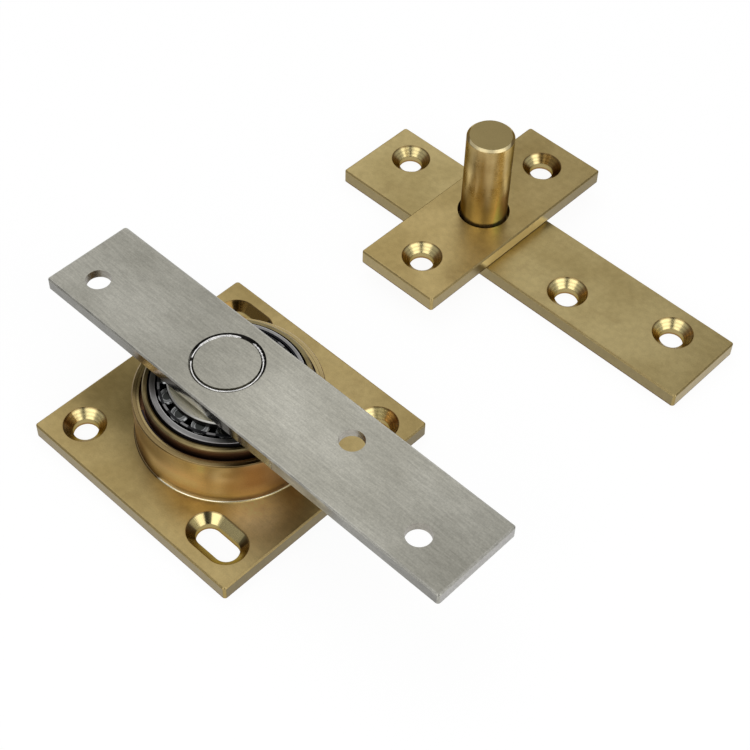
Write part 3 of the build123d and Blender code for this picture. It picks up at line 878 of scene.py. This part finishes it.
# painted shade away from the highlight side
paintedShade = spread(tree, across(tree, x, y, footBead["highlightToward"]), *footBead["paintedShadeEdge"])
base = tint(tree, paintedShade, base, footBead["paintedShade"])
finishMetal(tree, shader, base, vary(tree, speckle, *footBead["rough"]))
relief(tree, shader, speckle, footBead["depth"])
cupFoot.data.materials.append(finish)
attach(cupFoot, "floor_pivot")
print("cup foot made")


# Lip turned inward along the cup's rim
lip = {
    "inner": 0.0322, "outer": 0.03342, "top": 0.02598, "thick": 0.0006, "rounds": 200,
    "soften": 0.00012, "smoothAngle": 35.0,
}
bpy.ops.object.select_all(action="DESELECT")
bpy.ops.mesh.primitive_circle_add(
    vertices=lip["rounds"], radius=lip["outer"], fill_type="NGON", location=(0, 0, lip["top"])
)
cupLip = bpy.context.object
cupLip.name = "cupLip"
bpy.ops.object.transform_apply(location=True, rotation=True, scale=True)
bpy.ops.object.mode_set(mode="EDIT")
bpy.ops.mesh.select_all(action="SELECT")
bpy.ops.mesh.inset(thickness=lip["outer"] - lip["inner"])
bpy.ops.mesh.delete(type="FACE")
bpy.ops.object.mode_set(mode="OBJECT")
faceOutward()
bpy.ops.object.modifier_add(type="SOLIDIFY")
cupLip.modifiers["Solidify"].thickness = lip["thick"]
bpy.ops.object.modifier_apply(modifier="Solidify")
bpy.ops.object.modifier_add(type="BEVEL")
cupLip.modifiers["Bevel"].width = lip["soften"]
bpy.ops.object.modifier_apply(modifier="Bevel")
faceOutward()
bpy.ops.object.shade_smooth_by_angle(angle=math.radians(lip["smoothAngle"]))
cupLip.data.materials.append(nodes["bearing_cup"].data.materials[0])
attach(cupLip, "floor_pivot")
print("cup lip made")


# Studio: pale floor, world and soft boxes
stage = {
    "floorSize": 40.0, "floorMiddle": (0, 0.07), "drop": 0.0004,
    "floorPlain": (0.85, 0.85, 0.84), "floorShade": (0.10, 0.10, 0.10), "floorGlow": 0.93,
    "sky": (0.60, 0.60, 0.61), "gap": (0.12, 0.12, 0.13), "skyStrength": 0.60,
    "gapToward": (0.56, -0.56, 0.61), "gapEdge": (0.93, 0.985),
}
bpy.ops.object.select_all(action="DESELECT")
bpy.ops.mesh.primitive_plane_add(size=stage["floorSize"], location=(*stage["floorMiddle"], -stage["drop"]))
floor = bpy.context.object
floor.name = "floor"
floorFinish = bpy.data.materials.new("paleFloor")
floorFinish.use_nodes = True
tree = floorFinish.node_tree
tree.nodes.clear()
out = tree.nodes.new("ShaderNodeOutputMaterial")
rays = tree.nodes.new("ShaderNodeLightPath")
seen = calc(tree, "MAXIMUM", rays.outputs["Is Camera Ray"], rays.outputs["Is Glossy Ray"])
seen = calc(tree, "MAXIMUM", seen, rays.outputs["Is Transmission Ray"])
plain = tree.nodes.new("ShaderNodeBsdfDiffuse")
plain.inputs["Color"].default_value = (*stage["floorPlain"], 1)
shadow = tree.nodes.new("ShaderNodeBsdfDiffuse")
shadow.inputs["Color"].default_value = (*stage["floorShade"], 1)
glow = tree.nodes.new("ShaderNodeEmission")
glow.inputs["Strength"].default_value = stage["floorGlow"]
white = tree.nodes.new("ShaderNodeAddShader")
tree.links.new(shadow.outputs[0], white.inputs[0])
tree.links.new(glow.outputs[0], white.inputs[1])
either = tree.nodes.new("ShaderNodeMixShader")
tree.links.new(seen, either.inputs[0])
tree.links.new(plain.outputs[0], either.inputs[1])
tree.links.new(white.outputs[0], either.inputs[2])
tree.links.new(either.outputs[0], out.inputs["Surface"])
floor.data.materials.append(floorFinish)

sky = bpy.data.worlds.new("studio")
bpy.context.scene.world = sky
sky.use_nodes = True
tree = sky.node_tree
backdrop = tree.nodes["Background"]
heading = tree.nodes.new("ShaderNodeTexCoord").outputs["Generated"]
towards = tree.nodes.new("ShaderNodeVectorMath")
towards.operation = "DOT_PRODUCT"
tree.links.new(heading, towards.inputs[0])
towards.inputs[1].default_value = stage["gapToward"]
between = spread(tree, towards.outputs["Value"], *stage["gapEdge"])  # darker between the two low boxes
tree.links.new(tint(tree, between, stage["sky"], stage["gap"]), backdrop.inputs["Color"])
backdrop.inputs["Strength"].default_value = stage["skyStrength"]

softBoxes = {
    "overBox": {"place": (-0.80, 0.60, 1.42), "size": 1.7, "power": 7.2},
    "leftBox": {"place": (0.21, -1.02, 0.71), "size": 1.0, "power": 4.2},
    "rightBox": {"place": (1.12, 0.07, 0.71), "size": 1.0, "power": 4.2},
}
aim = Vector((0.02, 0.07, 0.02))
for name, box in softBoxes.items():
    lamp = bpy.data.lights.new(name, "AREA")
    lamp.shape = "SQUARE"
    lamp.size = box["size"]
    lamp.energy = box["power"]
    holder = bpy.data.objects.new(name, lamp)
    bpy.context.scene.collection.objects.link(holder)
    holder.location = box["place"]
    holder.rotation_euler = (holder.location - aim).to_track_quat("Z", "Y").to_euler()

view = {
    "place": (0.29302734, -0.2450489, 0.49034375),
    "turn": (39.83166821, -1.32084143, 43.81915989),
    "lens": 80.0,
    "sensor": 36.0,
}
camera = bpy.data.cameras.new("camera")
camera.lens = view["lens"]
camera.sensor_width = view["sensor"]
cameraObject = bpy.data.objects.new("camera", camera)
bpy.context.scene.collection.objects.link(cameraObject)
cameraObject.location = view["place"]
cameraObject.rotation_euler = [math.radians(angle) for angle in view["turn"]]
bpy.context.scene.camera = cameraObject
bpy.context.scene.view_settings.view_transform = "Standard"
print("studio set")
